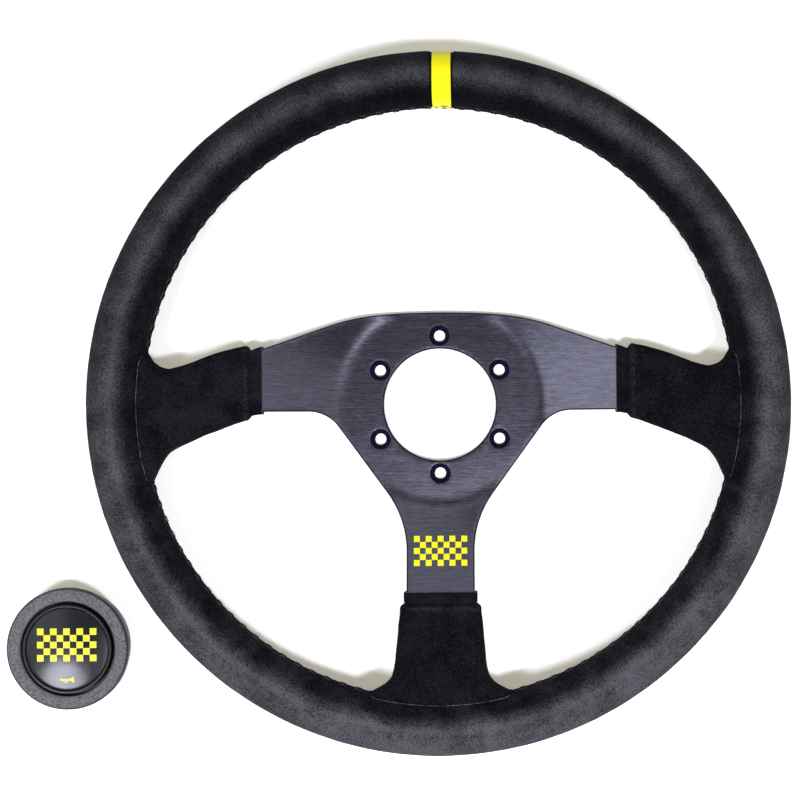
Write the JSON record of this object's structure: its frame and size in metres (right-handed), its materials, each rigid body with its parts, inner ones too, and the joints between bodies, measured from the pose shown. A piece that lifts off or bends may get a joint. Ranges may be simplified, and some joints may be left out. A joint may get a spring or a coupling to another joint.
{
  "type": "steering wheel",
  "caption": "Three-spoke dished competition steering wheel with suede grip, open hub for a quick release and a separate plug-in horn button.",
  "frame": {"origin": "on the surface that both pieces lie on, under the middle of the pair; the wheel's axis is 21.3 mm along +X from it", "axes": "+Z out of the wheel's front, towards the driver; +Y towards twelve o'clock; +X towards three o'clock"},
  "size_m": [0.3926, 0.3498, 0.039],
  "materials": {
    "anodised_plate": "brushed and black anodised",
    "bare_aluminium": "bare",
    "grip_foam": "moulded polyurethane",
    "suede": "black suede nap",
    "yellow_leather": "smooth dyed leather",
    "thread": "waxed thread",
    "textured_plastic": "fine moulded grain",
    "cap_plastic": "satin",
    "gloss_badge": "high gloss with a printed face",
    "brass": "pressed sheet",
    "steel": "zinc plated",
    "rubber": "moulded"
  },
  "bodies": {
    "wheel": {"spoke_plate": "anodised_plate", "rim_hoop": "bare_aluminium", "hoop_rivet_right_1": "bare_aluminium", "hoop_rivet_right_2": "bare_aluminium", "hoop_rivet_left_1": "bare_aluminium", "hoop_rivet_left_2": "bare_aluminium", "hoop_rivet_bottom_1": "bare_aluminium", "hoop_rivet_bottom_2": "bare_aluminium", "rim_foam": "grip_foam", "rim_wrap": "suede", "centre_mark": "yellow_leather", "spoke_boot_left": "suede", "spoke_boot_right": "suede", "spoke_boot_bottom": "suede", "boot_joint_seam_left": "thread", "boot_joint_seam_right": "thread", "boot_joint_seam_bottom": "thread", "boot_back_seam_left": "thread", "boot_back_seam_right": "thread", "boot_back_seam_bottom": "thread", "rim_lacing_top": "thread", "rim_lacing_lower_left": "thread", "rim_lacing_lower_right": "thread"},
    "horn_button": {"horn_bezel": "textured_plastic", "horn_base": "textured_plastic", "grip_ring": "rubber", "fixed_contact": "brass", "spring_seat": "brass", "return_spring": "steel", "eyelet_spring": "brass", "eyelet_ring": "brass", "spade_spring": "brass", "spade_ring": "brass", "base_screw_1": "steel", "base_screw_2": "steel", "base_screw_3": "steel"},
    "push_cap": {"push_cap": "cap_plastic", "cap_badge": "gloss_badge", "moving_contact": "brass"}
  },
  "joints": [
    {"name": "horn_button_lift", "type": "slide", "parent": "wheel", "child": "horn_button", "axis": [0, 0, 1], "range_m": [0, 0.06]},
    {"name": "horn_press", "type": "slide", "parent": "horn_button", "child": "push_cap", "axis": [0, 0, 1], "range_m": [-0.0025, 0], "stiffness_N_per_m": 2500, "springref_m": 0.002, "deforming": ["return_spring"]}
  ]
}
